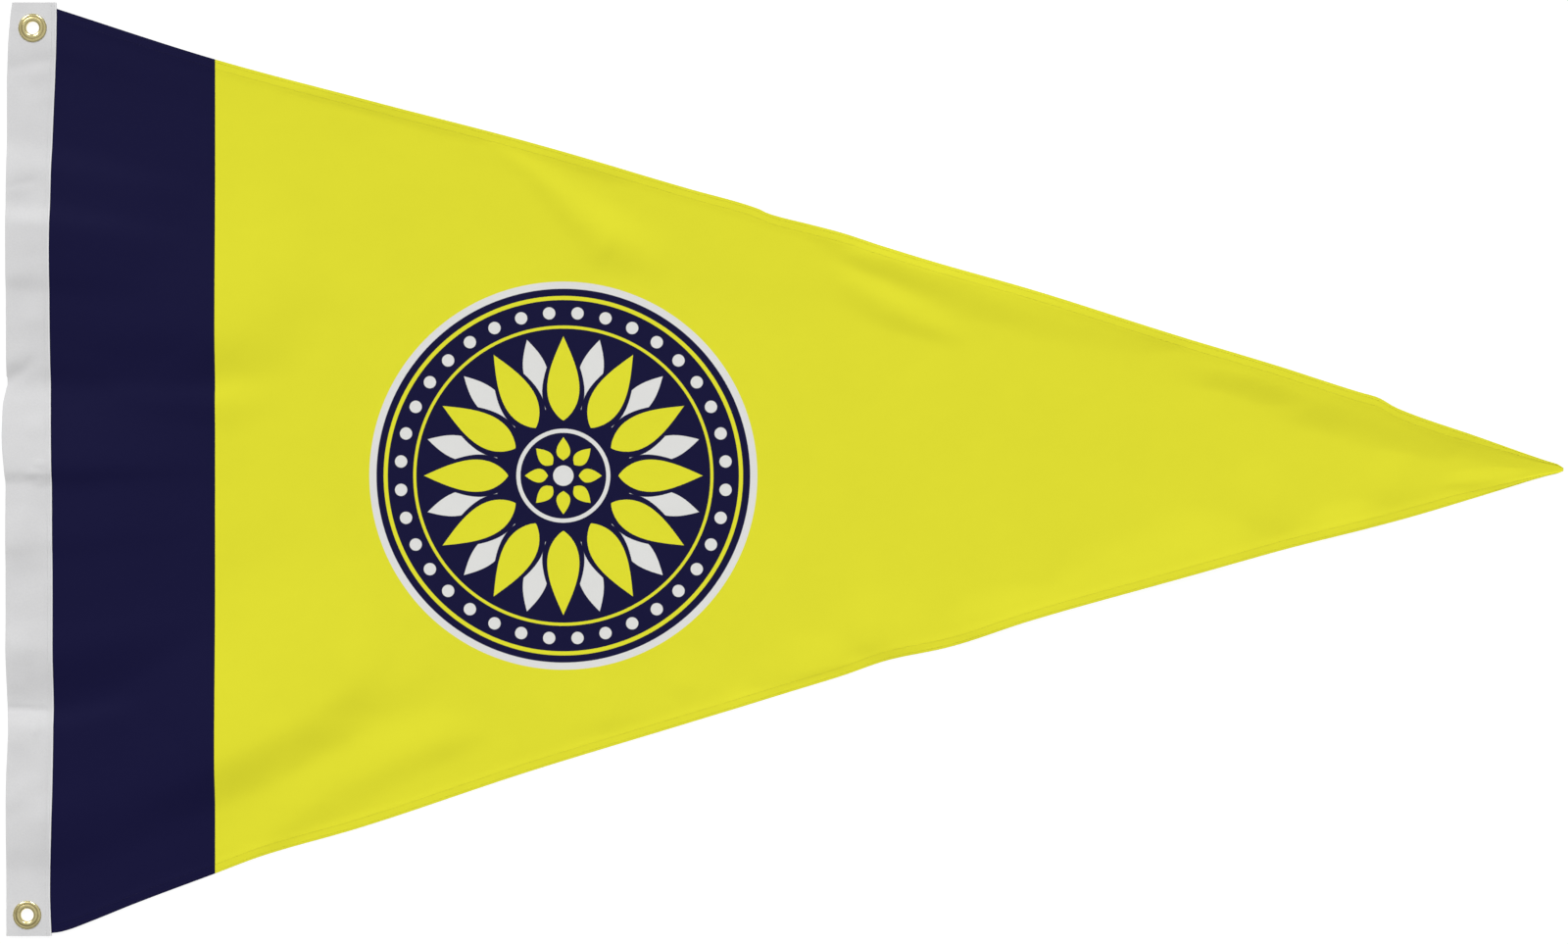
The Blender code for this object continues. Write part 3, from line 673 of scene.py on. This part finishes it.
def canvas():
    """White cotton canvas: a plain weave of round threads, with a painted highlight as a brighter strip
    beside the seam.
    """
    material, shader, start = new_material("white_canvas", {"Specular IOR Level": 0.2, "Sheen Weight": 0.1})
    place = start.node("ShaderNodeTexCoord", {}, {}, output=3)
    flat = start.node("ShaderNodeUVMap", {"uv_map": "weave"}, {})
    u = flat.node("ShaderNodeSeparateXYZ", {}, {0: flat}, output=0) / MM
    v = flat.node("ShaderNodeSeparateXYZ", {}, {0: flat}, output=1) / MM
    over = (u * (math.pi / CANVAS_PITCH)).math("SINE") * (v * (math.pi / CANVAS_PITCH)).math("SINE")
    thread_u = (u * (math.tau / CANVAS_PITCH)).math("COSINE").math("ABSOLUTE")
    thread_v = (v * (math.tau / CANVAS_PITCH)).math("COSINE").math("ABSOLUTE")
    cloudy = place.node("ShaderNodeTexNoise", {}, {"Vector": place, "Scale": 30.0, "Detail": 4.0}, output=0)
    slub = place.node("ShaderNodeTexNoise", {}, {"Vector": place, "Scale": 600.0, "Detail": 3.0}, output=0)
    # painted highlight: the canvas colour made brighter in a strip along the front's sewn edge
    painted_edge_highlight = u.inside(EDGE_HIGHLIGHT_WIDTH, EDGE_HIGHLIGHT_SOFTNESS) * EDGE_HIGHLIGHT_STRENGTH
    shade = (cloudy - 0.5) * 0.10 + (slub - 0.5) * 0.12 + over.math("ABSOLUTE") * 0.04 + painted_edge_highlight + 0.98
    grey = shade.node("ShaderNodeCombineXYZ", {}, {0: shade, 1: shade, 2: shade})
    colour = shade.node("ShaderNodeVectorMath", {"operation": "MULTIPLY"}, {0: CANVAS_WHITE, 1: grey})
    height = (over * 0.5 + (thread_u + thread_v) * 0.25 + slub) * (CANVAS_DEPTH * MM)
    bump = height.node("ShaderNodeBump", {}, {"Height": height, "Distance": 1.0, "Strength": 0.5})
    feed(material, shader, {"Base Color": colour, "Roughness": (slub - 0.5) * 0.2 + 0.8, "Normal": bump})
    return material


heading_tape.data.materials.append(canvas())
heading_tape.data.shade_smooth()
heading_tape.data.set_sharp_from_angle(angle=math.radians(TAPE_EDGE_ANGLE))
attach(heading_tape, "root")
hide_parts("heading")


# The sewing: lockstitch rows through the heading and along both hems, polyester thread, about eight
# stitches to the inch, seen as short raised stitches in front and behind.
STITCH_LENGTH = 2.5
STITCH_PITCH = 3.2
THREAD_WIDTH = 0.42
THREAD_SINK = 0.12
SHOULDER = 0.25
STITCH_TAPER = 0.55
STITCH_DROP = 0.35
HEADING_INSET = 1.5
HEM_START = 3.0
HEM_END = 6.0
WHITE_THREAD = (0.66, 0.66, 0.66, 1.0)
NAVY_THREAD = (0.009, 0.008, 0.045, 1.0)
YELLOW_THREAD = (0.69, 0.672, 0.035, 1.0)
HEM_STITCHES = (2.6, 9.0)


def one_stitch():
    """One stitch as bare points and faces: a small thread end to end, rounded down at both ends."""
    bpy.ops.object.select_all(action="DESELECT")
    bpy.ops.mesh.primitive_cylinder_add(
        vertices=6, radius=0.5, depth=1.0, end_fill_type="NGON", rotation=(0.0, 0.5 * math.pi, 0.0))
    stitch = bpy.context.object
    bpy.ops.object.transform_apply(location=True, rotation=True, scale=True)
    bpy.ops.object.mode_set(mode="EDIT")
    bpy.ops.mesh.select_all(action="SELECT")
    bpy.ops.mesh.bisect(plane_co=(SHOULDER, 0.0, 0.0), plane_no=(1.0, 0.0, 0.0))
    bpy.ops.mesh.select_all(action="SELECT")
    bpy.ops.mesh.bisect(plane_co=(-SHOULDER, 0.0, 0.0), plane_no=(1.0, 0.0, 0.0))
    bpy.ops.object.mode_set(mode="OBJECT")
    points = np.array([vertex.co for vertex in stitch.data.vertices])
    at_end = np.abs(points[:, 0]) > 0.5 * (0.5 + SHOULDER)
    points[:, 1:] *= np.where(at_end[:, None], STITCH_TAPER, 1.0)
    points[:, 2] -= np.where(at_end, STITCH_DROP, 0.0)
    faces = [list(face.vertices) for face in stitch.data.polygons]
    bpy.data.objects.remove(stitch, do_unlink=True)
    return points, faces


def surface_tree(piece):
    """A search tree of a finished piece's surface."""
    shape = bmesh.new()
    shape.from_mesh(piece.data)
    tree = BVHTree.FromBMesh(shape)
    shape.free()
    return tree


def sewn_rows(name, lines, tree, material):
    """Sets stitches along lines of the flag, in front and behind, and joins them into one piece."""
    shape_points, shape_faces = one_stitch()
    size = np.array((STITCH_LENGTH, THREAD_WIDTH, THREAD_WIDTH)) * MM
    points, faces = [], []
    for line in lines:
        reach = np.concatenate(([0.0], np.cumsum(np.hypot(*np.diff(line, axis=0).T))))
        count = int(reach[-1] / STITCH_PITCH)
        centres = (np.arange(count) + 0.5) * reach[-1] / count
        for centre in centres:
            ends = [
                Vector((
                    hoist_x + np.interp(centre + end, reach, line[:, 0]) * MM,
                    middle_y + np.interp(centre + end, reach, line[:, 1]) * MM, 0.0))
                for end in (-0.5 * STITCH_LENGTH, 0.5 * STITCH_LENGTH)
            ]
            for up in (1.0, -1.0):
                reached = (tree.ray_cast(end + Vector((0, 0, up)), Vector((0, 0, -up))) for end in ends)
                hits = [hit[0] for hit in reached]
                if None in hits:
                    continue
                along = (hits[1] - hits[0]).normalized()
                across = Vector((0, 0, up)).cross(along).normalized()
                out = along.cross(across)
                middle = 0.5 * (hits[0] + hits[1]) + out * (0.5 * THREAD_WIDTH - THREAD_SINK) * MM
                turned = np.array((along, across, out))
                faces += [[index + len(points) for index in face] for face in shape_faces]
                points += ((shape_points * size) @ turned + np.array(middle)).tolist()
    mesh = bpy.data.meshes.new(name)
    mesh.from_pydata(points, [], faces)
    mesh.validate()
    sewn = bpy.data.objects.new(name, mesh)
    bpy.context.scene.collection.objects.link(sewn)
    mesh.materials.append(material)
    mesh.shade_smooth()
    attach(sewn, "root")
    return sewn


def thread(name, band, field):
    """Polyester thread, in one colour along the band and the other along the field."""
    material, shader, start = new_material(name, {"Specular IOR Level": 0.15})
    place = start.node("ShaderNodeTexCoord", {}, {}, output=3)
    x = place.node("ShaderNodeSeparateXYZ", {}, {0: place}, output=0)
    colour = x.inside(hoist_x + BAND_END * MM, MM).mixed(field, band)
    twist = place.node(
        "ShaderNodeTexNoise", {}, {"Vector": place, "Scale": 2500.0, "Detail": 1.0}, output=0)
    feed(material, shader, {"Base Color": colour, "Roughness": twist * 0.3 + 0.45})
    return material


tape_tree = surface_tree(heading_tape)
sew_y = np.linspace(HOIST[0].y + HEADING_INSET, HOIST[-1].y - HEADING_INSET, TAPE_ROWS)
sew_seam = smooth_line(HOIST, "y", "seam", sew_y)
heading_lines = [np.column_stack((sew_seam - row, sew_y)) for row in STITCH_ROWS]
white_thread = thread("white_thread", WHITE_THREAD, WHITE_THREAD)
heading_thread = sewn_rows("heading_thread", heading_lines, tape_tree, white_thread)

cloth_tree = surface_tree(flag_cloth)
sew_x = np.linspace(row_seam[0] + HEM_START, TIP - HEM_END, columns)
sew_upper = smooth_line(UPPER_EDGE, "x", "y", sew_x)
sew_lower = smooth_line(LOWER_EDGE, "x", "y", sew_x)
sew_fit = edge_fit(sew_upper - sew_lower)
hem_lines = []
for inset in HEM_STITCHES:
    hem_lines.append(np.column_stack((sew_x, sew_upper - inset * sew_fit)))
    hem_lines.append(np.column_stack((sew_x, sew_lower + inset * sew_fit)))
dyed_thread = thread("hem_thread", NAVY_THREAD, YELLOW_THREAD)
hem_thread = sewn_rows("hem_thread", hem_lines, cloth_tree, dyed_thread)


# The brass eyelets: pressed sheet brass, each a domed flange over the tape with a crease round its
# rolled lip, and a barrel that goes down through the tape and is flared over a washer behind it.
# Each table is the metal's outline on one side of the axis, as radius and height.
RING_SIDES = 36
SMOOTHING = 2
MERGE_REACH = 0.02
# Painted shade in the crease: the ring's radius and reach, the height above which it is painted, how much of
# the dark colour is mixed in, and that colour
CREASE_RADIUS = 10.8
CREASE_REACH = 2.6
CREASE_SHADE_LEVEL = 4.2
CREASE_SHADE_SHARE = 0.7
BRIGHT_BRASS = (0.80, 0.70, 0.35, 1.0)
DULL_BRASS = (0.70, 0.61, 0.30, 1.0)
CREASE_SHADE_COLOUR = (0.18, 0.13, 0.04, 1.0)
SCRATCH_DEPTH = 0.02
EYELET_OUTLINE = (
    (6.25, 3.0), (6.25, 3.9), (6.45, 4.45), (6.85, 4.95), (7.3, 5.25), (7.9, 5.47), (8.6, 5.58), (9.3, 5.56),
    (10.0, 5.42), (10.5, 5.26), (10.8, 5.2), (11.1, 5.22), (11.6, 5.28), (12.3, 5.28), (13.0, 5.13),
    (13.6, 4.78), (13.98, 4.35), (13.9, 4.08), (13.5, 4.0), (10.5, 4.0), (7.7, 4.0), (7.1, 3.8), (7.1, 2.4),
    (7.1, 1.1), (7.3, 0.5), (7.65, 0.2), (7.6, 0.0), (7.1, 0.0), (6.5, 0.4), (6.25, 1.1),
)
WASHER_OUTLINE = (
    (7.6, 1.0), (7.6, 0.7), (8.1, 0.15), (8.6, 0.0), (10.5, 0.0), (12.6, 0.0), (13.1, 0.15), (13.2, 0.5),
    (13.1, 0.85), (12.6, 1.0), (10.5, 1.0),
)


def turned_ring(name, outline, eyelet, material):
    """Draws a closed outline out of a circle round an eyelet's axis, ring by ring, and smooths it."""
    x, y = hoist_x + eyelet.x * MM, middle_y + eyelet.y * MM
    radius, height = outline[0]
    bpy.ops.object.select_all(action="DESELECT")
    bpy.ops.mesh.primitive_circle_add(
        vertices=RING_SIDES, radius=radius * MM, location=(x, y, height * MM))
    ring = bpy.context.object
    ring.name = name
    ring.data.name = name
    bpy.ops.object.transform_apply(location=True, rotation=True, scale=True)
    bpy.ops.object.mode_set(mode="EDIT")
    bpy.ops.mesh.select_all(action="SELECT")
    for next_radius, next_height in outline[1:] + outline[:1]:
        rise = (0.0, 0.0, (next_height - height) * MM)
        grow = next_radius / radius
        bpy.ops.mesh.extrude_region_move(TRANSFORM_OT_translate={"value": rise})
        bpy.ops.transform.resize(value=(grow, grow, 1.0), center_override=(x, y, next_height * MM))
        radius, height = next_radius, next_height
    bpy.ops.mesh.select_all(action="SELECT")
    bpy.ops.mesh.remove_doubles(threshold=MERGE_REACH * MM)
    bpy.ops.mesh.normals_make_consistent(inside=False)
    bpy.ops.object.mode_set(mode="OBJECT")
    smooth = ring.modifiers.new("smooth", "SUBSURF")
    smooth.levels = SMOOTHING
    smooth.render_levels = SMOOTHING
    apply_all(ring)
    ring.data.materials.append(material)
    ring.data.shade_smooth()
    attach(ring, "root")
    return ring


def worn_brass(name, eyelet):
    """Polished brass, dulled in cloudy patches and finely scratched, with painted shade as a dark ring in
    the crease, where it is rougher too.
    """
    material, shader, start = new_material(name, {"Metallic": 1.0})
    place = start.node("ShaderNodeTexCoord", {}, {}, output=3)
    x = place.node("ShaderNodeSeparateXYZ", {}, {0: place}, output=0) / MM - (hoist_x / MM + eyelet.x)
    y = place.node("ShaderNodeSeparateXYZ", {}, {0: place}, output=1) / MM - (middle_y / MM + eyelet.y)
    z = place.node("ShaderNodeSeparateXYZ", {}, {0: place}, output=2) / MM
    cloudy = place.node("ShaderNodeTexNoise", {}, {"Vector": place, "Scale": 260.0, "Detail": 4.0}, output=0)
    scratch = place.node(
        "ShaderNodeTexNoise", {}, {"Vector": place, "Scale": 1800.0, "Detail": 2.0}, output=0)
    dull = ((cloudy - 0.45) * 3.0).clamped()
    off_crease = ((x * x + y * y).math("SQRT") - CREASE_RADIUS).math("ABSOLUTE")
    # painted shade: the crease ring darkened in colour on the upper side of the metal
    crease_painted_shade = (1.0 - off_crease / (cloudy * CREASE_REACH)).clamped() * (z - CREASE_SHADE_LEVEL).clamped()
    colour = dull.mixed(BRIGHT_BRASS, DULL_BRASS)
    colour = (crease_painted_shade * CREASE_SHADE_SHARE).mixed(colour, CREASE_SHADE_COLOUR)
    height = scratch * (SCRATCH_DEPTH * MM)
    bump = height.node("ShaderNodeBump", {}, {"Height": height, "Distance": 1.0, "Strength": 0.5})
    rough = dull * 0.14 + scratch * 0.08 + crease_painted_shade * 0.2 + 0.16
    feed(material, shader, {"Base Color": colour, "Roughness": rough, "Normal": bump})
    return material


for eyelet in EYELETS:
    brass = worn_brass(f"{eyelet.name}_worn_brass", eyelet)
    ring = turned_ring(f"{eyelet.name}_brass_eyelet", EYELET_OUTLINE, eyelet, brass)
    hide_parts(f"{eyelet.name}_eyelet")
    washer = turned_ring(f"{eyelet.name}_brass_washer", WASHER_OUTLINE, eyelet, brass)
    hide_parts(f"{eyelet.name}_washer")


# The table it lies on, two windows beyond the upper edge, a pale ceiling, and the camera straight overhead
PHOTO_WIDTH = 1600
PHOTO_HEIGHT = 963
PHOTO_STEP = 0.96 * MM
FLAG_LEFT = 3.0
FLAG_MIDDLE = 479.0
LENS = 85.0
SENSOR = 36.0
WINDOW_TURNS = (("left", 38.0), ("right", -14.0))
WINDOW_ENERGY = 1.43
WINDOW_SPREAD = 12.0
WINDOW_ELEVATION = 42.0
SKY_STRENGTH = 0.30
TABLE_SIZE = 12.0
TABLE_DROP = 0.4
CEILING_WIDTH = 6.0
CEILING_DEPTH = 4.0
CEILING_HEIGHT = 3.9
CEILING_ENERGY = 24.0

bpy.ops.object.select_all(action="DESELECT")
bpy.ops.mesh.primitive_plane_add(size=TABLE_SIZE, location=(0.0, 0.0, -TABLE_DROP * MM))
table = bpy.context.object
table.name = "table"
TABLE_LOOK = {
    "Base Color": (0.12, 0.12, 0.12, 1.0), "Roughness": 0.9, "Specular IOR Level": 0.0,
    "Emission Color": (1.0, 1.0, 1.0, 1.0), "Emission Strength": 0.93,
}
table.data.materials.append(new_material("white_table", TABLE_LOOK)[0])

world = bpy.data.worlds.new("studio")
bpy.context.scene.world = world
world.use_nodes = True
sky = world.node_tree.nodes["Background"]
sky.inputs["Color"].default_value = (1.0, 1.0, 1.0, 1.0)
sky.inputs["Strength"].default_value = SKY_STRENGTH

for side, turn in WINDOW_TURNS:
    window = bpy.data.lights.new(f"{side}_window", "SUN")
    window.energy = WINDOW_ENERGY
    window.angle = math.radians(WINDOW_SPREAD)
    window_object = bpy.data.objects.new(f"{side}_window", window)
    window_object.rotation_euler = (math.radians(WINDOW_ELEVATION - 90.0), 0.0, math.radians(turn))
    bpy.context.scene.collection.objects.link(window_object)

ceiling = bpy.data.lights.new("ceiling", "AREA")
ceiling.shape = "RECTANGLE"
ceiling.size = CEILING_WIDTH
ceiling.size_y = CEILING_DEPTH
ceiling.energy = CEILING_ENERGY
ceiling_object = bpy.data.objects.new("ceiling", ceiling)
ceiling_object.location = (0.0, 0.0, CEILING_HEIGHT)
ceiling_object.visible_camera = False
bpy.context.scene.collection.objects.link(ceiling_object)

camera = bpy.data.cameras.new("overhead")
camera.lens = LENS
camera.sensor_width = SENSOR
camera_object = bpy.data.objects.new("overhead", camera)
camera_x = hoist_x + (0.5 * PHOTO_WIDTH - FLAG_LEFT) * PHOTO_STEP
camera_y = middle_y + (FLAG_MIDDLE - 0.5 * PHOTO_HEIGHT) * PHOTO_STEP
camera_object.location = (camera_x, camera_y, LENS / SENSOR * PHOTO_WIDTH * PHOTO_STEP)
bpy.context.scene.collection.objects.link(camera_object)
bpy.context.scene.camera = camera_object
bpy.context.scene.view_settings.view_transform = "Standard"
